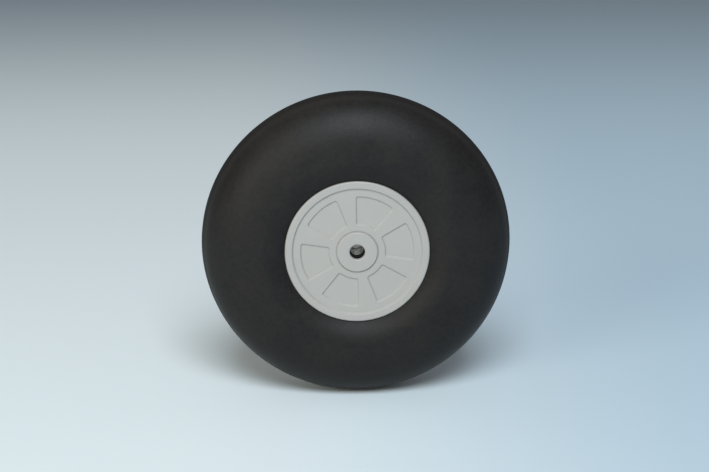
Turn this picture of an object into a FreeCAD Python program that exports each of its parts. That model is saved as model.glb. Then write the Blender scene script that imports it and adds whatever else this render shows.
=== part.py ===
"""Wheel for a model aircraft: a foam tyre on a moulded hub made of two equal halves.

Row frame: millimetres, origin at the wheel's centre, +Y the spin axis, +Z up. The outer face looks along -Y.
Every half of the hub is described by (rho, out): the distance from the spin axis, and the distance
outwards from the mid plane where the two halves meet.
"""
import FreeCAD, Part
import math
import os

# ---- driving sizes, in millimetres and degrees ------------------------------------------------------------

# tyre
TYRE_DIAMETER = 95.0
TYRE_WIDTH = 27.0
CREST_DIAMETER = 58.0        # ring on each side wall where the tyre is widest
SHOULDER_FULLNESS = 0.73     # weight of the curve to the tread: 0.707 is a true ellipse, more is squarer
HOLLOW_FULLNESS = 0.75       # weight of the curve from the lip to the crest
HOLLOW_ANGLE = 40.0          # slope at which the side wall leaves the lip
LIP_DROP = 0.5               # the tyre's lip lies this far behind the hub's front plane
LIP_EASE = 0.4               # cut off the lip's edge, next to the flange
MOULD_LINE_WIDTH = 0.9
MOULD_LINE_HEIGHT = 0.12

# hub half
HUB_WIDTH = 22.6             # over the rims of both halves
FLANGE_DIAMETER = 44.0
FLANGE_THICKNESS = 2.2
FLANGE_EASE = 0.4            # cut off the flange's outer edge
RIM_BAND = 2.6               # raised ring round the edge of the face
RIM_SLOPE = 0.5              # run-out of the rim's inner wall
DISC_RECESS = 0.6            # the disc lies this far behind the rim and the boss
DISC_WALL = 2.0
BARREL_DIAMETER = 35.0
BARREL_WALL = 1.6
BOSS_DIAMETER = 12.4
BOSS_EASE = 0.35             # cut off the boss's edge
GROOVE_WIDTH = 0.4           # fine groove round the foot of the boss
GROOVE_DEPTH = 0.2
CORE_DIAMETER = 10.4         # tube behind the boss that holds the bush
MOUTH_DIAMETER = 4.6         # hole in the wall that closes the tube
MOUTH_WALL = 1.3
MOUTH_EASE = 0.35

# windows: shallow panels, sized at the floor, with a slope round the edge
WINDOW_COUNT = 6
WINDOW_PHASE = 11.2          # angle of the first window's middle, from +X towards +Z
WINDOW_ANGLE = 39.2
WINDOW_INNER_DIAMETER = 17.3
WINDOW_OUTER_DIAMETER = 34.1
WINDOW_DEPTH = 0.45
WINDOW_EASE = 0.3            # width and depth of the slope
WINDOW_CORNER = 0.5

# stiffening behind the disc, and the pegs that join the halves
RIB_THICKNESS = 1.2
RIB_SETBACK = 0.4            # the ribs stop this far short of the mid plane
POST_CIRCLE = 21.5           # diameter of the circle through the posts
POST_DIAMETER = 4.4
PEG_DIAMETER = 2.0
PEG_HEIGHT = 2.0
PEG_EASE = 0.35
ROOT = 0.6                   # how far ribs, posts and pegs run into what carries them

# bushes
BUSH_BORE = 4.2
BUSH_DIAMETER = 6.2
BUSH_LENGTH = 6.5
BUSH_CHAMFER = 0.25

# clearances
TYRE_FIT = 0.05              # tyre to barrel and to flange edge, in radius
BUSH_FIT = 0.01              # bush to its seat, in radius
BUSH_SEAM = 0.9              # between the two bushes, across the mid plane
PEG_FIT = 0.1                # peg to socket, in radius
SOCKET_SPARE = 0.4           # the socket is this much deeper than the peg

# ---- sizes that follow ------------------------------------------------------------------------------------

half_width = HUB_WIDTH / 2
flange_radius = FLANGE_DIAMETER / 2
barrel_radius = BARREL_DIAMETER / 2
barrel_inside = barrel_radius - BARREL_WALL
boss_radius = BOSS_DIAMETER / 2
core_radius = CORE_DIAMETER / 2
seat_radius = BUSH_DIAMETER / 2 + BUSH_FIT
step_radius = flange_radius - RIM_BAND
flange_back = half_width - FLANGE_THICKNESS
disc_front = half_width - DISC_RECESS
disc_back = disc_front - DISC_WALL
window_pitch = 360.0 / WINDOW_COUNT
first_spoke = WINDOW_PHASE + window_pitch / 2

ORIGIN = FreeCAD.Vector(0, 0, 0)
SPIN_AXIS = FreeCAD.Vector(0, 1, 0)
OUTWARD = FreeCAD.Vector(0, -1, 0)


# ---- helpers ----------------------------------------------------------------------------------------------

def at(rho, out, angle=0.0):
    """Point at that distance from the axis, that far out from the mid plane, at that angle from +X to +Z."""
    turn = math.radians(angle)
    return FreeCAD.Vector(rho * math.cos(turn), -out, rho * math.sin(turn))


def outline(corners):
    """Closed wire of straight lines through (rho, out) corners."""
    points = [at(rho, out) for rho, out in corners]
    return Part.makePolygon(points + points[:1])


def turned(wire):
    """Solid made by turning a closed wire once round the spin axis."""
    return Part.Face(wire).revolve(ORIGIN, SPIN_AXIS, 360)


def rod(radius, start, end, rho=0.0, angle=0.0):
    """Cylinder along the spin axis from start to end, measured outwards from the mid plane."""
    return Part.makeCylinder(radius, end - start, at(rho, start, angle), OUTWARD)


def spoke_angles():
    """Angles of the middles of the spokes between the windows."""
    return [first_spoke + k * window_pitch for k in range(WINDOW_COUNT)]


def other_side(shape):
    """The same piece turned over: half a turn about the middle of the first window."""
    turned_over = shape.copy()
    turned_over.rotate(ORIGIN, at(1, 0, WINDOW_PHASE), 180)
    return turned_over


# ---- tyre -------------------------------------------------------------------------------------------------

def conic(start, corner, end, fullness):
    """Smooth arc of a conic that leaves start and reaches end along the lines through the corner."""
    curve = Part.BezierCurve()
    curve.setPoles([start, corner, end])
    curve.setWeight(2, fullness)
    return curve.toShape()


def side_wall(side):
    """Edges from the bore's end to the crown of the tread (side 1 is the outer wall, -1 the inner one)."""
    bore = barrel_radius + TYRE_FIT
    lip = flange_radius + TYRE_FIT
    lip_out = half_width - LIP_DROP
    lip_top = lip + LIP_EASE
    crest = CREST_DIAMETER / 2
    crest_out = TYRE_WIDTH / 2
    crown = TYRE_DIAMETER / 2 - MOULD_LINE_HEIGHT
    hollow_corner = lip_top + (crest_out - lip_out) / math.tan(math.radians(HOLLOW_ANGLE))
    return [
        Part.LineSegment(at(bore, side * flange_back), at(lip, side * flange_back)).toShape(),
        Part.LineSegment(at(lip, side * flange_back), at(lip, side * (lip_out - LIP_EASE))).toShape(),
        Part.LineSegment(at(lip, side * (lip_out - LIP_EASE)), at(lip_top, side * lip_out)).toShape(),
        conic(
            at(lip_top, side * lip_out),
            at(hollow_corner, side * crest_out),
            at(crest, side * crest_out),
            HOLLOW_FULLNESS,
        ),
        conic(
            at(crest, side * crest_out),
            at(crown, side * crest_out),
            at(crown, 0),
            SHOULDER_FULLNESS,
        ),
    ]


def mould_line():
    """Low ridge round the crown, where the halves of the tyre's mould met, with its foot sunk in the tread."""
    top = TYRE_DIAMETER / 2
    foot = top - 3 * MOULD_LINE_HEIGHT
    half = MOULD_LINE_WIDTH / 2
    return turned(outline([
        (foot, -half),
        (top, -half / 3),
        (top, half / 3),
        (foot, half),
    ]))


def tyre():
    """Solid foam ring with a straight bore, a seat for each flange and a full round section."""
    bore = barrel_radius + TYRE_FIT
    edges = [Part.LineSegment(at(bore, -flange_back), at(bore, flange_back)).toShape()]
    edges += side_wall(1) + side_wall(-1)
    section = Part.Wire(Part.sortEdges(edges)[0])
    return turned(section).fuse(mould_line()).removeSplitter()


# ---- hub --------------------------------------------------------------------------------------------------

def hub_blank():
    """Turned form of one half: core tube, boss with its groove, disc, raised rim, flange and barrel."""
    mouth_radius = MOUTH_DIAMETER / 2
    return turned(outline([
        (seat_radius, 0),
        (seat_radius, half_width - MOUTH_WALL),
        (mouth_radius, half_width - MOUTH_WALL),
        (mouth_radius, half_width - MOUTH_EASE),
        (mouth_radius + MOUTH_EASE, half_width),
        (boss_radius - BOSS_EASE, half_width),
        (boss_radius, half_width - BOSS_EASE),
        (boss_radius, disc_front - GROOVE_DEPTH),
        (boss_radius + GROOVE_WIDTH, disc_front),
        (step_radius, disc_front),
        (step_radius + RIM_SLOPE, half_width),
        (flange_radius - FLANGE_EASE, half_width),
        (flange_radius, half_width - FLANGE_EASE),
        (flange_radius, flange_back),
        (barrel_radius, flange_back),
        (barrel_radius, 0),
        (barrel_inside, 0),
        (barrel_inside, disc_back),
        (core_radius, disc_back),
        (core_radius, 0),
    ]))


def window_cutter(middle):
    """Straight-sided pocket with rounded corners, for the window whose middle is at that angle."""
    floor = disc_front - WINDOW_DEPTH
    outer = WINDOW_OUTER_DIAMETER / 2
    inner = WINDOW_INNER_DIAMETER / 2
    first = middle - WINDOW_ANGLE / 2
    last = middle + WINDOW_ANGLE / 2
    sector = Part.Wire([
        Part.Arc(at(outer, floor, first), at(outer, floor, middle), at(outer, floor, last)).toShape(),
        Part.LineSegment(at(outer, floor, last), at(inner, floor, last)).toShape(),
        Part.Arc(at(inner, floor, last), at(inner, floor, middle), at(inner, floor, first)).toShape(),
        Part.LineSegment(at(inner, floor, first), at(outer, floor, first)).toShape(),
    ])
    block = Part.Face(sector).extrude(OUTWARD * (WINDOW_DEPTH + ROOT))
    corners = [edge for edge in block.Edges if edge.BoundBox.YLength > WINDOW_DEPTH]
    return block.makeFillet(WINDOW_CORNER, corners)


def windowed(blank):
    """The blank with its windows sunk in the disc, and the slope cut round each window's edge."""
    face = blank.cut([window_cutter(WINDOW_PHASE + k * window_pitch) for k in range(WINDOW_COUNT)])
    rims = [edge for edge in face.Edges
            if edge.BoundBox.YLength < ROOT / 100 and abs(edge.BoundBox.YMin + disc_front) < ROOT / 100
            and not edge.Closed]
    return face.makeChamfer(WINDOW_EASE, rims)


def rib(angle):
    """Straight wall behind a spoke, from the core tube to the barrel."""
    start = core_radius - ROOT
    end = barrel_inside + ROOT
    height = disc_back - RIB_SETBACK + ROOT
    wall = Part.makeBox(end - start, height, RIB_THICKNESS,
                        FreeCAD.Vector(start, -RIB_SETBACK - height, -RIB_THICKNESS / 2))
    wall.rotate(ORIGIN, SPIN_AXIS, -angle)
    return wall


def peg(angle):
    """Round peg with an eased end that stands over the mid plane on a post."""
    shaft = rod(PEG_DIAMETER / 2, -PEG_HEIGHT, ROOT, POST_CIRCLE / 2, angle)
    tip = [edge for edge in shaft.Edges if edge.Closed and edge.CenterOfMass.y > 0]
    return shaft.makeChamfer(PEG_EASE, tip)


def socket(angle):
    """Hole in a post for the other half's peg."""
    depth = PEG_HEIGHT + SOCKET_SPARE
    return rod(PEG_DIAMETER / 2 + PEG_FIT, 0, depth, POST_CIRCLE / 2, angle)


def hub_half():
    """One moulded half, with its pegs and sockets in turn round the posts, so that two equal halves join."""
    half = windowed(hub_blank())
    angles = spoke_angles()
    ribs = [rib(angle) for angle in angles]
    posts = [rod(POST_DIAMETER / 2, 0, disc_back + ROOT, POST_CIRCLE / 2, angle) for angle in angles]
    pegs = [peg(angle) for angle in angles[::2]]
    sockets = [socket(angle) for angle in angles[1::2]]
    return half.fuse(ribs + posts + pegs).cut(sockets).removeSplitter()


# ---- bush -------------------------------------------------------------------------------------------------

def bush():
    """Plain metal sleeve with eased ends, pressed into the core tube from the mid plane."""
    start = BUSH_SEAM / 2
    end = start + BUSH_LENGTH
    inner, outer = BUSH_BORE / 2, BUSH_DIAMETER / 2
    ease = BUSH_CHAMFER
    return turned(outline([
        (inner, start + ease),
        (inner, end - ease),
        (inner + ease, end),
        (outer - ease, end),
        (outer, end - ease),
        (outer, start + ease),
        (outer - ease, start),
        (inner + ease, start),
    ]))


# ---- the wheel --------------------------------------------------------------------------------------------

front_half = hub_half()
front_bush = bush()
pieces = {
    "tyre": tyre(),
    "hub_half_front": front_half,
    "hub_half_rear": other_side(front_half),
    "bush_front": front_bush,
    "bush_rear": other_side(front_bush),
}

os.makedirs("parts", exist_ok=True)
for name, piece in pieces.items():
    solid = piece.Solids[0] if len(piece.Solids) == 1 else piece
    print(f"{name}: {len(piece.Solids)} solid, valid {piece.isValid()}, {piece.Volume / 1000:.2f} cm3, "
          f"{len(piece.Faces)} faces")
    solid.exportStep(f"parts/{name}.step")
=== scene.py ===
"""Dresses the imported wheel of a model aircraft: foam tyre, moulded hub and bushes, in a plain studio.

Lengths are in metres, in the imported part's own frame: Y is the spin axis, the outer face looks along -Y,
and Z is up. Sections are drawn as (rho, out): the distance from the spin axis, and the distance outwards
from the wheel's mid plane.
"""

import logging
import math
from contextlib import contextmanager
from dataclasses import dataclass, field
from enum import Enum
from typing import Iterator, Optional, Sequence, Union

import bmesh
import bpy
from mathutils import Matrix, Vector


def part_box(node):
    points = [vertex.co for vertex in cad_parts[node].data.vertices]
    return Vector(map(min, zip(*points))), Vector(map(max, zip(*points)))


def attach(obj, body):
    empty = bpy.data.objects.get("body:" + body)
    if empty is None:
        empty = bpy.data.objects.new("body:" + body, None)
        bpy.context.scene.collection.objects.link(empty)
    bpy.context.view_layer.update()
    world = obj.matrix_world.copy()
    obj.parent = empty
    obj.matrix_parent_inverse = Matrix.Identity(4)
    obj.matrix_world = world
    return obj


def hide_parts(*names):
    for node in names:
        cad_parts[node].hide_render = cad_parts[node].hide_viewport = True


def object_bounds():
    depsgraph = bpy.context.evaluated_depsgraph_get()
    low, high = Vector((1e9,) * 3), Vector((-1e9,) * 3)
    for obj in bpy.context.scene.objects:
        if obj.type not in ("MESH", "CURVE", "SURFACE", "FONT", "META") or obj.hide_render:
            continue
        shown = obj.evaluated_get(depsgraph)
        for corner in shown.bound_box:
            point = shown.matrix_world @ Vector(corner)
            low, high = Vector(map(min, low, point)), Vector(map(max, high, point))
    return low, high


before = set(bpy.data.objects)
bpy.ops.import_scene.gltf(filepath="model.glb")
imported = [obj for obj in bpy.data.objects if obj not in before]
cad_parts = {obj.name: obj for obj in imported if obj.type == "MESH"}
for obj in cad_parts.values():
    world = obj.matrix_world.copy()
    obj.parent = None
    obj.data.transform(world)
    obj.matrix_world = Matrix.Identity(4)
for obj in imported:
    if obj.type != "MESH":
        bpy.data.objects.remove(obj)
CAD_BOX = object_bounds()

MM = 0.001
FULL_TURN = 2 * math.pi
MERGE_DISTANCE = 0.001 * MM
log = logging.getLogger("wheel")

Point = tuple[float, float]
Colour = tuple[float, float, float]
Triple = tuple[float, float, float]


class Cut(Enum):
    """The two ways in which a tool body changes a piece."""

    ADD = "UNION"
    REMOVE = "DIFFERENCE"


# ---- shader maths --------------------------------------------------------------------------------


class Socket:
    """A node's output that can be used in Python expressions; each operation adds a Math node."""

    def __init__(self, graph: "Graph", link: bpy.types.NodeSocket) -> None:
        """Keeps the graph, and the node output that this value comes from."""
        self.graph = graph
        self.link = link

    def _maths(self, operation: str, first: "Value", second: "Value" = 0.0) -> "Socket":
        """Adds one Math node, such as MULTIPLY, and gives its result."""
        return self.graph.node("ShaderNodeMath", {"operation": operation}, {0: first, 1: second})

    def __add__(self, other: "Value") -> "Socket":
        """Sum."""
        return self._maths("ADD", self, other)

    __radd__ = __add__

    def __mul__(self, other: "Value") -> "Socket":
        """Product."""
        return self._maths("MULTIPLY", self, other)

    __rmul__ = __mul__

    def __sub__(self, other: "Value") -> "Socket":
        """Difference."""
        return self._maths("SUBTRACT", self, other)

    def __rsub__(self, other: "Value") -> "Socket":
        """Difference with this value taken away."""
        return self._maths("SUBTRACT", other, self)

    def __pow__(self, other: "Value") -> "Socket":
        """Power."""
        return self._maths("POWER", self, other)

    def __abs__(self) -> "Socket":
        """Size without its sign."""
        return self._maths("ABSOLUTE", self)


Value = Union[Socket, float, int, Sequence[float]]


class Graph:
    """The node graph of one procedural material, laid out on Object coordinates."""

    def __init__(self, name: str) -> None:
        """Starts a material with one Principled shader.

        Args:
            name: The material's name.
        """
        self.material = bpy.data.materials.new(name)
        self.material.use_nodes = True
        self.tree = self.material.node_tree
        self.shader = next(n for n in self.tree.nodes if n.type == "BSDF_PRINCIPLED")
        self.place = self.node("ShaderNodeTexCoord", {}, {}, "Object")

    def feed(self, target: bpy.types.NodeSocket, value: Value) -> None:
        """Links a value to an input, or sets the input to it.

        Args:
            target: The input.
            value: A socket of this graph, a number, a colour or a vector.
        """
        if isinstance(value, Socket):
            self.tree.links.new(value.link, target)
        else:
            target.default_value = value

    def node(
        self,
        kind: str,
        settings: dict[str, object],
        inputs: dict[Union[str, int], Value],
        output: Union[str, int] = 0,
    ) -> Socket:
        """Adds a node of any kind.

        Args:
            kind: The node's type.
            settings: Its settings, which are set first.
            inputs: The values or links of its inputs, by name or number.
            output: The output that is wanted, by name or number.

        Returns:
            That output.
        """
        made = self.tree.nodes.new(kind)
        for name, value in settings.items():
            setattr(made, name, value)
        for name, value in inputs.items():
            self.feed(made.inputs[name], value)
        return Socket(self, made.outputs[output])

    def part(self, axis: str) -> Socket:
        """Picks one of the Object coordinates, X, Y or Z, in metres."""
        return self.node("ShaderNodeSeparateXYZ", {}, {"Vector": self.place}, axis)

    def rho(self) -> Socket:
        """Works out the distance from the spin axis."""
        return (self.part("X") ** 2.0 + self.part("Z") ** 2.0) ** 0.5

    def noise(
        self, size: float, detail: float = 2.0, roughness: float = 0.6, place: Optional[Value] = None
    ) -> Socket:
        """Adds soft noise from 0 to 1.

        Args:
            size: The size of its patches, in metres.
            detail: How many finer layers it has.
            roughness: How strong the finer layers are.
            place: Where it is read, if not at the Object coordinates.

        Returns:
            The noise.
        """
        inputs = {
            "Vector": self.place if place is None else place,
            "Scale": 1.0 / size,
            "Detail": detail,
            "Roughness": roughness,
        }
        return self.node("ShaderNodeTexNoise", {}, inputs, "Fac")

    def cells(self, size: float) -> Socket:
        """Adds the distance, about 0 to 1, to the nearest of points scattered one to a cell of this size."""
        inputs = {"Vector": self.place, "Scale": 1.0 / size}
        return self.node("ShaderNodeTexVoronoi", {"feature": "F1"}, inputs, "Distance")

    def between(self, value: Socket, low: float, high: float) -> Socket:
        """Maps a value smoothly to 0 at low and 1 at high.

        Args:
            value: The value.
            low: Where the result is 0.
            high: Where the result is 1.

        Returns:
            The mapped value, from 0 to 1.
        """
        settings = {"interpolation_type": "SMOOTHSTEP"}
        inputs = {"Value": value, "From Min": low, "From Max": high}
        return self.node("ShaderNodeMapRange", settings, inputs)

    def tint(self, first: Union[Colour, Socket], second: Union[Colour, Socket], share: Socket) -> Socket:
        """Mixes two colours: the first where the share is 0, the second where it is 1."""
        ends = [end if isinstance(end, Socket) else (*end, 1.0) for end in (first, second)]
        return self.node("ShaderNodeMix", {"data_type": "RGBA"}, {0: share, 6: ends[0], 7: ends[1]}, 2)

    def relief(self, height: Socket, depth: float) -> Socket:
        """Turns a height from 0 to 1 into the normal of a relief this deep, in metres."""
        return self.node("ShaderNodeBump", {}, {"Height": height, "Distance": depth}, "Normal")

    def blend(self, shares: Triple, values: Sequence[Socket]) -> Socket:
        """Adds up three values, each times its own share."""
        first, second, third = (value * share for value, share in zip(values, shares))
        return first + second + third

    def finished(self, inputs: dict[str, Value]) -> bpy.types.Material:
        """Feeds the shader and hands the material over.

        Args:
            inputs: The values or links of the shader's inputs, by name.

        Returns:
            The material.
        """
        for name, value in inputs.items():
            self.feed(self.shader.inputs[name], value)
        return self.material


# ---- finishes ------------------------------------------------------------------------------------


@dataclass(frozen=True)
class FoamSkin:
    """The closed black skin of moulded foam: fine pores, a patchy sheen, a duller tread, and a patchy
    lighter band painted round each tread edge as a highlight.
    """

    dark: Colour = (0.0086, 0.0078, 0.0086)
    worn: Colour = (0.0200, 0.0174, 0.0150)
    # painted highlight: the colour of the lighter band round each tread edge
    edge_highlight: Colour = (0.0235, 0.0208, 0.0184)
    sheen: float = 0.22
    roughness: float = 0.50
    roughness_spread: float = 0.10
    tread_roughness: float = 0.20
    patch: float = 14 * MM
    patch_levels: Point = (0.30, 0.70)
    mottle: float = 1.3 * MM
    mottle_levels: Point = (0.32, 0.68)
    pore: float = 0.55 * MM
    pore_edge: float = 0.38
    grain: float = 0.22 * MM
    colour_shares: Triple = (0.45, 0.35, 0.20)
    relief_shares: Triple = (0.40, 0.25, 0.35)
    depth: float = 0.055 * MM
    tread_edge_out: float = 4.7 * MM
    tread_edge_width: float = 2.0 * MM
    least_edge_highlight: float = 0.35

    def material(self) -> bpy.types.Material:
        """Builds the material.

        Returns:
            The material.
        """
        graph = Graph("foam_skin")
        patches = graph.between(graph.noise(self.patch, 5.0, 0.62), *self.patch_levels)
        mottles = graph.between(graph.noise(self.mottle, 3.0), *self.mottle_levels)
        grain = graph.noise(self.grain)
        pores = graph.between(graph.cells(self.pore), 0.0, self.pore_edge)
        out = abs(graph.part("Y"))
        tread = graph.between(out, self.tread_edge_out, self.tread_edge_out - self.tread_edge_width)
        # painted highlight: a patchy lighter band round each tread edge
        edge_highlight_share = graph.between(abs(out - self.tread_edge_out), self.tread_edge_width, 0.0)
        edge_highlight_share = edge_highlight_share * (self.least_edge_highlight + (1.0 - self.least_edge_highlight) * patches)
        wear = graph.blend(self.colour_shares, (patches, mottles, grain))
        skin = graph.tint(self.dark, self.worn, wear)
        rough = self.roughness + (patches + grain - 1.0) * self.roughness_spread
        relief = graph.relief(graph.blend(self.relief_shares, (pores, mottles, grain)), self.depth)
        return graph.finished({
            "Base Color": graph.tint(skin, self.edge_highlight, edge_highlight_share),
            "Specular IOR Level": self.sheen,
            "Roughness": rough + tread * self.tread_roughness,
            "Normal": relief,
        })


@dataclass(frozen=True)
class MouldedPlastic:
    """Light grey plastic: fine grain, faint turning marks on the boss, and near-black shade painted in the
    recess before the bushes.
    """

    light: Colour = (0.422, 0.404, 0.379)
    shade: Colour = (0.394, 0.377, 0.354)
    # painted shade: near-black for the recess between the mouth and the bush
    recess_shade: Colour = (0.016, 0.015, 0.013)
    roughness: float = 0.42
    roughness_spread: float = 0.10
    cloud: float = 9 * MM
    grain: float = 0.18 * MM
    depth: float = 0.008 * MM
    ring: float = 0.45 * MM
    ring_share: float = 1.5
    boss_radius: float = 6.0 * MM
    recess_shade_radius: float = 3.4 * MM
    recess_shade_out: float = 9.95 * MM
    recess_shade_edge: float = 0.1 * MM

    def material(self) -> bpy.types.Material:
        """Builds the material.

        Returns:
            The material.
        """
        graph = Graph("moulded_plastic")
        clouds = graph.noise(self.cloud, 3.0, 0.5)
        grain = graph.noise(self.grain)
        rho = graph.rho()
        turned = graph.noise(self.ring, place=graph.node("ShaderNodeCombineXYZ", {}, {"X": rho}))
        rings = (turned - 0.5) * graph.between(rho, self.boss_radius, self.boss_radius - self.ring)
        # painted shade: the plastic inside the core tube, behind the mouth, turns near-black and fully rough
        inside = graph.between(rho, self.recess_shade_radius + self.recess_shade_edge, self.recess_shade_radius)
        behind = graph.between(abs(graph.part("Y")), self.recess_shade_out + self.recess_shade_edge, self.recess_shade_out)
        recess_shade = inside * behind
        rough = self.roughness + (grain - 0.5) * self.roughness_spread + recess_shade * (1.0 - self.roughness)
        return graph.finished({
            "Base Color": graph.tint(graph.tint(self.shade, self.light, clouds), self.recess_shade, recess_shade),
            "Roughness": rough,
            "Normal": graph.relief(grain + rings * self.ring_share, self.depth),
        })


@dataclass(frozen=True)
class TurnedSteel:
    """Bright steel with fine turned rings, a film of stain, and near-black shade painted on its outer end,
    deep in the recess.
    """

    bright: Colour = (0.96, 0.93, 0.88)
    stained: Colour = (0.86, 0.83, 0.77)
    # painted shade: near-black for the bush's outer end, deep in the recess
    recess_shade: Colour = (0.030, 0.028, 0.025)
    recess_shade_out: float = 6.75 * MM
    recess_shade_edge: float = 0.3 * MM
    roughness: float = 0.20
    stain_roughness: float = 0.12
    ring_roughness: float = 0.08
    ring: float = 0.12 * MM
    ring_squeeze: Triple = (0.05, 1.0, 0.05)
    stain: float = 1.6 * MM
    stain_levels: Point = (0.35, 0.75)
    depth: float = 0.006 * MM

    def material(self) -> bpy.types.Material:
        """Builds the material.

        Returns:
            The material.
        """
        graph = Graph("turned_steel")
        place = graph.node("ShaderNodeMapping", {}, {"Vector": graph.place, "Scale": self.ring_squeeze})
        rings = graph.noise(self.ring, place=place)
        stains = graph.between(graph.noise(self.stain, 3.0), *self.stain_levels)
        # painted shade: the outer end turns near-black, dull and not metal
        recess_shade = graph.between(abs(graph.part("Y")), self.recess_shade_out - self.recess_shade_edge, self.recess_shade_out)
        clean = graph.tint(self.bright, self.stained, stains)
        rough = self.roughness + stains * self.stain_roughness + (rings - 0.5) * self.ring_roughness
        return graph.finished({
            "Base Color": graph.tint(clean, self.recess_shade, recess_shade),
            "Metallic": 1.0 - recess_shade,
            "Roughness": rough + recess_shade * (1.0 - self.roughness),
            "Normal": graph.relief(rings, self.depth),
        })


@dataclass(frozen=True)
class StudioPaper:
    """Pale matt paper under the wheel, with painted light a little brighter to the left and painted shade
    greyer far behind.
    """

    colour: Colour = (0.58, 0.74, 0.85)
    bright: Colour = (0.91, 0.98, 0.99)
    distant: Colour = (0.34, 0.42, 0.48)
    left: float = -60 * MM
    right: float = 130 * MM
    near: float = 300 * MM
    far: float = 1000 * MM
    roughness: float = 0.8
    fibre: float = 1.2 * MM
    fibre_share: float = 0.04

    def material(self) -> bpy.types.Material:
        """Builds the material.

        Returns:
            The material.
        """
        graph = Graph("studio_paper")
        fibres = graph.noise(self.fibre, 3.0)
        # painted light: the paper turns brighter towards the left
        side = graph.between(graph.part("X"), self.right, self.left) * (1.0 - self.fibre_share)
        graded = graph.tint(self.colour, self.bright, side + fibres * self.fibre_share)
        # painted shade: the paper turns greyer far behind the wheel
        behind = graph.between(graph.part("Y"), self.near, self.far)
        return graph.finished({
            "Base Color": graph.tint(graded, self.distant, behind),
            "Roughness": self.roughness,
        })


# ---- modelling helpers ---------------------------------------------------------------------------


def deselect_all() -> None:
    """Leaves nothing selected, so that an operator acts only on what is chosen next."""
    bpy.ops.object.select_all(action="DESELECT")


@contextmanager
def editing(piece: bpy.types.Object) -> Iterator[None]:
    """Opens one object alone in edit mode, and leaves edit mode at the end.

    Args:
        piece: The object to edit.

    Yields:
        Nothing; the object is in edit mode meanwhile.
    """
    deselect_all()
    piece.select_set(True)
    bpy.context.view_layer.objects.active = piece
    bpy.ops.object.mode_set(mode="EDIT")
    yield
    bpy.ops.object.mode_set(mode="OBJECT")


def keep_name(piece: bpy.types.Object, name: str) -> bpy.types.Object:
    """Names an object and its mesh.

    Args:
        piece: The object.
        name: The name.

    Returns:
        The object.
    """
    piece.name = name
    piece.data.name = name
    return piece


def at(rho: float, out: float, angle: float = 0.0) -> Vector:
    """Place of a section point on the outer side of the wheel.

    Args:
        rho: Distance from the spin axis.
        out: Distance outwards from the mid plane.
        angle: Turn from +X towards +Z.

    Returns:
        The point.
    """
    return Vector((rho * math.cos(angle), -out, rho * math.sin(angle)))


def drawn(name: str, outline: Sequence[Vector], closed: bool) -> bpy.types.Object:
    """Draws a line of edges: a primitive plane merged into one point and extruded from place to place.

    Args:
        name: The new object's name.
        outline: The points of the line.
        closed: Whether the line ends where it started.

    Returns:
        The new object, at the origin.
    """
    deselect_all()
    bpy.ops.mesh.primitive_plane_add(size=MM)
    piece = keep_name(bpy.context.active_object, name)
    stops = [*outline[1:], outline[0]] if closed else outline[1:]
    with editing(piece):
        bpy.ops.mesh.select_all(action="SELECT")
        bpy.ops.mesh.merge(type="CENTER")
        bpy.ops.transform.translate(value=outline[0])
        for here, there in zip(outline, stops):
            bpy.ops.mesh.extrude_region_move(TRANSFORM_OT_translate={"value": there - here})
        bpy.ops.mesh.select_all(action="SELECT")
        bpy.ops.mesh.remove_doubles(threshold=MERGE_DISTANCE)
    return piece


def spin(piece: bpy.types.Object, steps: int) -> None:
    """Spins a drawn line once round the axis.

    Args:
        piece: The object that holds the line.
        steps: How many steps the full turn has.
    """
    with editing(piece):
        bpy.ops.mesh.select_all(action="SELECT")
        bpy.ops.mesh.spin(steps=steps, angle=FULL_TURN, center=(0, 0, 0), axis=(0, 1, 0))
        bpy.ops.mesh.select_all(action="SELECT")
        bpy.ops.mesh.remove_doubles(threshold=MERGE_DISTANCE)
        bpy.ops.mesh.normals_make_consistent(inside=False)


def joined(pieces: Sequence[bpy.types.Object]) -> bpy.types.Object:
    """Joins objects into the first one.

    Args:
        pieces: The objects.

    Returns:
        The first object, which holds them all.
    """
    deselect_all()
    for piece in pieces:
        piece.select_set(True)
    bpy.context.view_layer.objects.active = pieces[0]
    bpy.ops.object.join()
    return pieces[0]


def combine(piece: bpy.types.Object, tool: bpy.types.Object, how: Cut) -> None:
    """Adds a tool body to a piece or cuts it away, and removes the tool.

    Args:
        piece: The object that is changed.
        tool: The tool body.
        how: Whether the tool is added or cut away.
    """
    deselect_all()
    piece.select_set(True)
    bpy.context.view_layer.objects.active = piece
    modifier = piece.modifiers.new(how.name, "BOOLEAN")
    modifier.object = tool
    modifier.operation = how.value
    modifier.solver = "EXACT"
    modifier.use_self = True
    bpy.ops.object.modifier_apply(modifier=modifier.name)
    bpy.data.objects.remove(tool)


def smooth(piece: bpy.types.Object, sharpest: float) -> None:
    """Shades a piece smooth, apart from edges that turn by more than an angle.

    Args:
        piece: The object.
        sharpest: The angle, in degrees.
    """
    deselect_all()
    piece.select_set(True)
    bpy.context.view_layer.objects.active = piece
    bpy.ops.object.shade_smooth_by_angle(angle=math.radians(sharpest))


def dress(piece: bpy.types.Object, finish: bpy.types.Material) -> None:
    """Gives a piece one material in place of any that it has.

    Args:
        piece: The object.
        finish: The material.
    """
    if not piece.data.materials:
        piece.data.materials.append(finish)
    for index in range(len(piece.data.materials)):
        piece.data.materials[index] = finish


def arc(middle: Point, radius: float, start: float, end: float, steps: int) -> list[Point]:
    """Points along part of a circle.

    Args:
        middle: The circle's middle.
        radius: Its radius.
        start: The first point's angle.
        end: The last point's angle.
        steps: How many steps the arc has.

    Returns:
        The points.
    """
    angles = [start + (end - start) * step / steps for step in range(steps + 1)]
    x, y = middle
    return [(x + radius * math.cos(angle), y + radius * math.sin(angle)) for angle in angles]


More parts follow.
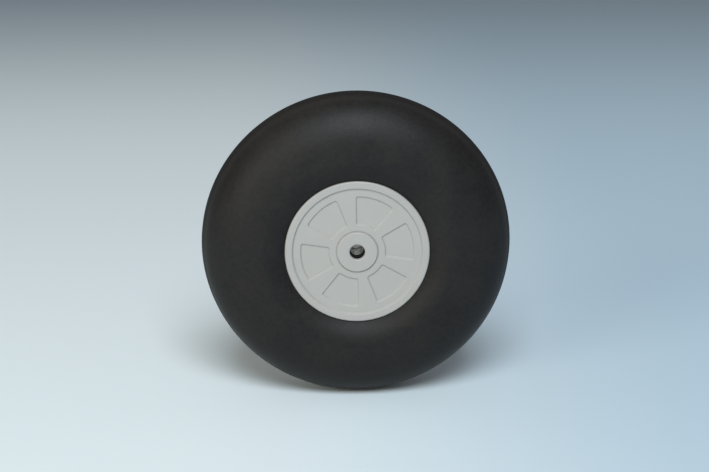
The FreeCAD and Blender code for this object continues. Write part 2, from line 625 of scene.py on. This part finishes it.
def conic(start: Point, corner: Point, end: Point, fullness: float, steps: int) -> list[Point]:
    """Points along the conic that leaves start and reaches end in line with the corner.

    Args:
        start: The first point.
        corner: Where the lines along the curve's two ends meet.
        end: The last point.
        fullness: How far the curve reaches to the corner; 0.707 is an ellipse in a square corner.
        steps: How many steps the curve has.

    Returns:
        The points after the first one, up to and with the last one.
    """
    points = []
    for step in range(1, steps + 1):
        t = step / steps
        a, b, c = (1 - t) ** 2, 2 * fullness * t * (1 - t), t**2
        points.append(tuple((a * s + b * m + c * e) / (a + b + c) for s, m, e in zip(start, corner, end)))
    return points


def rounded(corners: Sequence[tuple[float, float, float]], steps: int, border: float) -> list[Point]:
    """Rounds the corners of an open line, with a short straight border at each end of a round.

    Args:
        corners: The corners, each with the radius of its round, or 0 where it stays sharp.
        steps: How many steps each round has.
        border: The length of the borders.

    Returns:
        The points of the rounded line.
    """
    points = []
    for index, (rho, out, radius) in enumerate(corners):
        here = Vector((rho, out))
        if radius == 0:
            points.append((rho, out))
            continue
        back = (Vector(corners[index - 1][:2]) - here).normalized()
        ahead = (Vector(corners[index + 1][:2]) - here).normalized()
        half_turn = (math.pi - back.angle(ahead)) / 2
        setback = radius * math.tan(half_turn)
        entry, leave = here + back * setback, here + ahead * setback
        points += [tuple(entry + back * border), tuple(entry)]
        points += conic(tuple(entry), (rho, out), tuple(leave), math.cos(half_turn), steps)
        points.append(tuple(leave + ahead * border))
    return points


# ---- pieces --------------------------------------------------------------------------------------


@dataclass
class Tyre:
    """The foam tyre: one full round section on the hub's barrel, with a mould line round the tread."""

    finish: FoamSkin = field(default_factory=FoamSkin)
    crest_radius: float = 29.0 * MM
    shoulder_fullness: float = 0.73
    hollow_fullness: float = 0.75
    hollow_angle: float = math.radians(40.0)
    barrel_radius: float = 17.55 * MM
    flange_thickness: float = 2.2 * MM
    lip_drop: float = 0.5 * MM
    lip_round: float = 0.4 * MM
    flange_gap: float = 0.05 * MM
    line_height: float = 0.12 * MM
    line_half_width: float = 0.45 * MM
    curve_steps: int = 30
    round_steps: int = 5
    turn_steps: int = 288
    sharpest: float = 50.0

    def side_wall(
        self, radius: float, half_width: float, hub_radius: float, hub_out: float
    ) -> list[Point]:
        """Draws one side of the section.

        Args:
            radius: The tread's radius.
            half_width: Half the tyre's width.
            hub_radius: The flange's radius.
            hub_out: The hub's half width.

        Returns:
            The points from the bore's end to the foot of the mould line.
        """
        lip = hub_radius + self.flange_gap
        lip_out = hub_out - self.lip_drop
        lip_top = lip + self.lip_round
        seat = hub_out - self.flange_thickness
        crest = (self.crest_radius, half_width)
        crown = radius - self.line_height
        corner = (lip_top + (half_width - lip_out) / math.tan(self.hollow_angle), half_width)
        points = [(self.barrel_radius, seat), (lip, seat), (lip, lip_out - self.lip_round)]
        points += conic(points[-1], (lip, lip_out), (lip_top, lip_out), math.sqrt(0.5), self.round_steps)
        points += conic(points[-1], corner, crest, self.hollow_fullness, self.curve_steps)
        corner = (crown, half_width)
        points += conic(crest, corner, (crown, 0.0), self.shoulder_fullness, self.curve_steps)
        while points[-1][1] < self.line_half_width:
            points.pop()
        return [*points, (crown, self.line_half_width), (radius, self.line_half_width / 3)]

    def build(self) -> bpy.types.Object:
        """Models the tyre.

        Returns:
            The tyre's object.
        """
        low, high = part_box("tyre")
        hub_low, hub_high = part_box("hub_half_front")
        radius = (high[2] - low[2]) / 2
        half_width = (high[1] - low[1]) / 2
        half = self.side_wall(radius, half_width, (hub_high[2] - hub_low[2]) / 2, -hub_low[1])
        outline = [at(*point) for point in half] + [at(rho, -out) for rho, out in reversed(half)]
        piece = drawn("foam_tyre", outline, closed=True)
        spin(piece, self.turn_steps)
        smooth(piece, self.sharpest)
        dress(piece, self.finish.material())
        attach(piece, "root")
        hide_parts("tyre")
        return piece


@dataclass
class Windows:
    """The six shallow panels of a hub's face, with soft shoulders, sunk walls and flat floors."""

    count: int = 6
    phase: float = math.radians(11.2)
    half_angle: float = math.radians(19.6)
    inner_radius: float = 8.65 * MM
    outer_radius: float = 17.05 * MM
    corner: float = 0.5 * MM
    arc_steps: int = 20
    corner_steps: int = 7
    border: float = 0.12 * MM
    wall: tuple[Point, ...] = (
        (0.42 * MM, 0.000 * MM),
        (0.34 * MM, 0.015 * MM),
        (0.25 * MM, 0.055 * MM),
        (0.17 * MM, 0.125 * MM),
        (0.10 * MM, 0.220 * MM),
        (0.05 * MM, 0.320 * MM),
        (0.01 * MM, 0.390 * MM),
        (-0.05 * MM, 0.430 * MM),
        (-0.13 * MM, 0.450 * MM),
    )

    def corner_arc(self, rho: float, angle: float, side: int, start: float, end: float) -> list[Point]:
        """Draws a corner's round about its middle at (rho, angle); a side of -1 mirrors all the angles."""
        middle = (rho * math.cos(angle), side * rho * math.sin(angle))
        return arc(middle, self.corner + self.grow, side * start, side * end, self.corner_steps)

    @property
    def grow(self) -> float:
        """How far the flat border reaches past the window's floor."""
        return self.wall[0][0] + self.border

    def outline(self, face_out: float) -> list[Vector]:
        """Draws the flat border round one window, in the plane of the disc.

        Args:
            face_out: How far out the disc's face is.

        Returns:
            The points of the closed outline.
        """
        quarter = FULL_TURN / 4
        far, near = self.outer_radius - self.corner, self.inner_radius + self.corner
        far_turn = self.half_angle - math.asin(self.corner / far)
        near_turn = self.half_angle - math.asin(self.corner / near)
        side, back = self.half_angle + quarter, near_turn + 2 * quarter
        flat = arc((0, 0), self.outer_radius + self.grow, -far_turn, far_turn, self.arc_steps)
        flat += self.corner_arc(far, far_turn, 1, far_turn, side)
        flat += self.corner_arc(near, near_turn, 1, side, back)
        flat += arc((0, 0), self.inner_radius - self.grow, near_turn, -near_turn, self.arc_steps // 2)
        flat += self.corner_arc(near, near_turn, -1, back, side)
        flat += self.corner_arc(far, far_turn, -1, side, far_turn)
        points = [Vector((x, -face_out, z)) for x, z in flat]
        befores = points[-1:] + points
        return [here for here, before in zip(points, befores) if (here - before).length > MERGE_DISTANCE]

    def build(self, face_out: float) -> bpy.types.Object:
        """Models the windows.

        Args:
            face_out: How far out the disc's face is.

        Returns:
            One object with all the windows.
        """
        piece = drawn("windows", self.outline(face_out), closed=True)
        rings = [(self.grow, 0.0), *self.wall, (self.wall[-1][0] - self.border, self.wall[-1][1])]
        with editing(piece):
            bpy.ops.mesh.select_mode(type="FACE")
            bpy.ops.mesh.select_all(action="SELECT")
            bpy.ops.mesh.edge_face_add()
            bpy.ops.mesh.select_all(action="SELECT")
            bpy.ops.mesh.normals_make_consistent(inside=False)
            if bmesh.from_edit_mesh(piece.data).faces[0:1][0].normal.y > 0:
                bpy.ops.mesh.flip_normals()
            for (wide, high), (narrow, low) in zip(rings, rings[1:]):
                bpy.ops.mesh.inset(thickness=wide - narrow, depth=high - low, use_even_offset=True)
        copies = []
        for index in range(self.count):
            copy = piece.copy()
            copy.data = piece.data.copy()
            bpy.context.scene.collection.objects.link(copy)
            copy.data.transform(Matrix.Rotation(-self.phase - index * FULL_TURN / self.count, 4, "Y"))
            copies.append(copy)
        bpy.data.objects.remove(piece)
        return joined(copies)


@dataclass
class HubHalf:
    """One moulded half of the hub: its face, barrel, flange, core tube, ribs, posts, pegs and sockets."""

    windows: Windows = field(default_factory=Windows)
    mouth_radius: float = 2.3 * MM
    mouth_wall: float = 1.3 * MM
    mouth_round: float = 0.45 * MM
    seat_radius: float = 3.11 * MM
    core_radius: float = 5.2 * MM
    boss_radius: float = 6.2 * MM
    boss_round: float = 0.38 * MM
    groove_width: float = 0.4 * MM
    groove_depth: float = 0.2 * MM
    disc_recess: float = 0.6 * MM
    disc_wall: float = 2.0 * MM
    rim_band: float = 2.6 * MM
    rim_slope: float = 0.5 * MM
    rim_round: float = 0.22 * MM
    foot_round: float = 0.12 * MM
    flange_thickness: float = 2.2 * MM
    flange_round: float = 0.5 * MM
    barrel_radius: float = 17.5 * MM
    barrel_inside: float = 15.9 * MM
    rib_thickness: float = 1.2 * MM
    rib_setback: float = 0.4 * MM
    post_circle: float = 10.75 * MM
    post_radius: float = 2.2 * MM
    peg_radius: float = 1.0 * MM
    peg_height: float = 2.0 * MM
    socket_fit: float = 0.1 * MM
    socket_spare: float = 0.4 * MM
    root: float = 0.6 * MM
    border: float = 0.06 * MM
    round_steps: int = 6
    turn_steps: int = 192
    post_sides: int = 32
    sharpest: float = 32.0

    def shell(self, radius: float, half_width: float) -> bpy.types.Object:
        """Spins the half's turned surfaces and closes the disc between them and the windows.

        Args:
            radius: The flange's radius.
            half_width: The hub's half width.

        Returns:
            The closed shell.
        """
        face = half_width - self.disc_recess
        back = face - self.disc_wall
        seat = half_width - self.flange_thickness
        step = radius - self.rim_band
        foot = self.boss_radius + self.groove_width
        line = rounded(
            (
                (foot + 4 * self.border, face, 0),
                (foot, face, self.border),
                (self.boss_radius, face - self.groove_depth, self.border),
                (self.boss_radius, half_width, self.boss_round),
                (self.mouth_radius, half_width, self.mouth_round),
                (self.mouth_radius, half_width - self.mouth_wall, 0),
                (self.seat_radius, half_width - self.mouth_wall, 0),
                (self.seat_radius, 0, 0),
                (self.core_radius, 0, 0),
                (self.core_radius, back, 0),
                (self.barrel_inside, back, 0),
                (self.barrel_inside, 0, 0),
                (self.barrel_radius, 0, 0),
                (self.barrel_radius, seat, 0),
                (radius, seat, 0),
                (radius, half_width, self.flange_round),
                (step + self.rim_slope, half_width, self.rim_round),
                (step, face, self.foot_round),
                (step - 6 * self.border, face, 0),
            ),
            self.round_steps,
            self.border,
        )
        turned = drawn("hub_half", [at(*point) for point in line], closed=False)
        spin(turned, self.turn_steps)
        piece = joined([turned, self.windows.build(face)])
        with editing(piece):
            bpy.ops.mesh.select_mode(type="EDGE")
            bpy.ops.mesh.select_all(action="DESELECT")
            bpy.ops.mesh.select_non_manifold(
                use_wire=False, use_multi_face=False, use_non_contiguous=False, use_verts=False
            )
            bpy.ops.mesh.fill()
            bpy.ops.mesh.select_all(action="SELECT")
            bpy.ops.mesh.remove_doubles(threshold=MERGE_DISTANCE)
            bpy.ops.mesh.normals_make_consistent(inside=False)
        return piece

    def spokes(self) -> list[float]:
        """Angles of the middles of the spokes between the windows."""
        pitch = FULL_TURN / self.windows.count
        return [self.windows.phase + (index + 0.5) * pitch for index in range(self.windows.count)]

    def rib(self, angle: float, back: float) -> bpy.types.Object:
        """Adds the straight wall behind one spoke.

        Args:
            angle: The spoke's angle.
            back: How far out the disc's back is.

        Returns:
            The wall.
        """
        start, end = self.core_radius - self.root, self.barrel_inside + self.root
        low, high = self.rib_setback, back + self.root
        place = at((start + end) / 2, (low + high) / 2, angle)
        size = (end - start, high - low, self.rib_thickness)
        deselect_all()
        bpy.ops.mesh.primitive_cube_add(size=1.0, location=place, rotation=(0, -angle, 0), scale=size)
        bpy.ops.object.transform_apply(location=True, rotation=True, scale=True)
        return bpy.context.active_object

    def post(self, radius: float, start: float, end: float, angle: float) -> bpy.types.Object:
        """Adds a round rod on the circle of the posts, along the spin axis.

        Args:
            radius: The rod's radius.
            start: Where it starts, outwards from the mid plane.
            end: Where it ends.
            angle: The spoke's angle.

        Returns:
            The rod.
        """
        deselect_all()
        bpy.ops.mesh.primitive_cylinder_add(
            vertices=self.post_sides,
            radius=radius,
            depth=end - start,
            location=at(self.post_circle, (start + end) / 2, angle),
            rotation=(FULL_TURN / 4, 0, 0),
        )
        bpy.ops.object.transform_apply(location=True, rotation=True, scale=True)
        return bpy.context.active_object

    def build(self, name: str) -> bpy.types.Object:
        """Models the half.

        Args:
            name: The half's name.

        Returns:
            The half's object.
        """
        low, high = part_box("hub_half_front")
        radius, half_width = (high[2] - low[2]) / 2, -low[1]
        back = half_width - self.disc_recess - self.disc_wall
        piece = keep_name(self.shell(radius, half_width), name)
        spokes = self.spokes()
        added = [self.rib(angle, back) for angle in spokes]
        added += [self.post(self.post_radius, 0, back + self.root, angle) for angle in spokes]
        added += [self.post(self.peg_radius, -self.peg_height, self.root, angle) for angle in spokes[::2]]
        combine(piece, joined(added), Cut.ADD)
        width, depth = self.peg_radius + self.socket_fit, self.peg_height + self.socket_spare
        holes = [self.post(width, -self.root, depth, angle) for angle in spokes[1::2]]
        combine(piece, joined(holes), Cut.REMOVE)
        smooth(piece, self.sharpest)
        return piece


@dataclass
class Hub:
    """The hub's two equal moulded halves and their bushes."""

    half: HubHalf = field(default_factory=HubHalf)
    plastic: MouldedPlastic = field(default_factory=MouldedPlastic)
    metal: TurnedSteel = field(default_factory=TurnedSteel)

    def build(self) -> list[bpy.types.Object]:
        """Models the halves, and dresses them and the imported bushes.

        Returns:
            The dressed objects.
        """
        plastic, metal = self.plastic.material(), self.metal.material()
        front = self.half.build("moulded_half_front")
        rear = front.copy()
        rear.data = front.data.copy()
        keep_name(rear, "moulded_half_rear")
        bpy.context.scene.collection.objects.link(rear)
        rear.data.transform(Matrix.Rotation(FULL_TURN / 2, 4, at(1, 0, self.half.windows.phase)))
        for piece, node in ((front, "hub_half_front"), (rear, "hub_half_rear")):
            dress(piece, plastic)
            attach(piece, "root")
            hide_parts(node)
        bushes = [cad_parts[node] for node in ("bush_front", "bush_rear")]
        for bush in bushes:
            dress(bush, metal)
        return [front, rear, *bushes]


# ---- studio --------------------------------------------------------------------------------------


@dataclass(frozen=True)
class Lamp:
    """One soft square light that looks at the wheel; its angles are in degrees and its power in watts."""

    name: str
    azimuth: float
    elevation: float
    distance: float
    size: float
    power: float
    colour: Colour


@dataclass
class Studio:
    """Pale paper floor, soft light from above and the left, and the camera."""

    paper: StudioPaper = field(default_factory=StudioPaper)
    floor_size: float = 12.0
    azimuth: float = -2.0
    elevation: float = 15.8
    distance: float = 570 * MM
    lens: float = 93.84
    sensor: float = 36.0
    shift: Point = (-0.00227, 0.00887)
    lamps: tuple[Lamp, ...] = (
        Lamp("key", 2.0, 47.0, 1.6, 0.77, 21.0, (0.85, 0.93, 1.0)),
        Lamp("side", -42.0, 18.0, 1.2, 0.5, 4.0, (1.0, 0.96, 0.80)),
    )
    sky: Colour = (0.91, 0.93, 0.96)
    sky_strength: float = 0.21

    def floor(self) -> None:
        """Lays the paper under the wheel."""
        deselect_all()
        bpy.ops.mesh.primitive_plane_add(size=self.floor_size, location=(0, 0, CAD_BOX[0][2]))
        paper = bpy.context.active_object
        paper.name = "studio_floor"
        dress(paper, self.paper.material())

    def around(self, azimuth: float, elevation: float, distance: float) -> Vector:
        """Place round the wheel.

        Args:
            azimuth: Turn from straight in front towards +X, in degrees.
            elevation: Angle above the wheel's middle, in degrees.
            distance: Distance from the wheel's middle.

        Returns:
            The place.
        """
        turn, rise = math.radians(azimuth), math.radians(elevation)
        return distance * Vector((
            math.sin(turn) * math.cos(rise),
            -math.cos(turn) * math.cos(rise),
            math.sin(rise),
        ))

    def hang(self, holder: bpy.types.Object, place: Vector) -> None:
        """Puts a light or the camera in its place, so that it looks at the wheel's middle.

        Args:
            holder: The light's or the camera's object.
            place: Where it goes.
        """
        bpy.context.scene.collection.objects.link(holder)
        holder.location = place
        holder.rotation_euler = (-place).to_track_quat("-Z", "Y").to_euler()

    def light(self, lamp: Lamp) -> None:
        """Hangs one light.

        Args:
            lamp: The light's place, size, power and colour.
        """
        light = bpy.data.lights.new(lamp.name, "AREA")
        light.size = lamp.size
        light.energy = lamp.power
        light.color = lamp.colour
        holder = bpy.data.objects.new(lamp.name, light)
        self.hang(holder, self.around(lamp.azimuth, lamp.elevation, lamp.distance))

    def camera(self) -> None:
        """Sets up the camera."""
        lens = bpy.data.cameras.new("camera")
        lens.lens = self.lens
        lens.sensor_width = self.sensor
        lens.shift_x, lens.shift_y = self.shift
        lens.clip_start = 10 * MM
        holder = bpy.data.objects.new("camera", lens)
        self.hang(holder, self.around(self.azimuth, self.elevation, self.distance))
        bpy.context.scene.camera = holder

    def build(self) -> None:
        """Builds the floor, the lights, the sky and the camera."""
        self.floor()
        for lamp in self.lamps:
            self.light(lamp)
        world = bpy.data.worlds.new("studio")
        world.use_nodes = True
        sky = world.node_tree.nodes["Background"]
        sky.inputs["Color"].default_value = (*self.sky, 1.0)
        sky.inputs["Strength"].default_value = self.sky_strength
        bpy.context.scene.world = world
        bpy.context.scene.view_settings.view_transform = "Standard"
        self.camera()


def main() -> None:
    """Builds every piece in order and reports it."""
    logging.basicConfig(level=logging.INFO, format="%(message)s")
    tyre = Tyre().build()
    log.info("%s: %d faces", tyre.name, len(tyre.data.polygons))
    for piece in Hub().build():
        log.info("%s: dressed", piece.name)
    Studio().build()


if __name__ == "__main__":
    main()
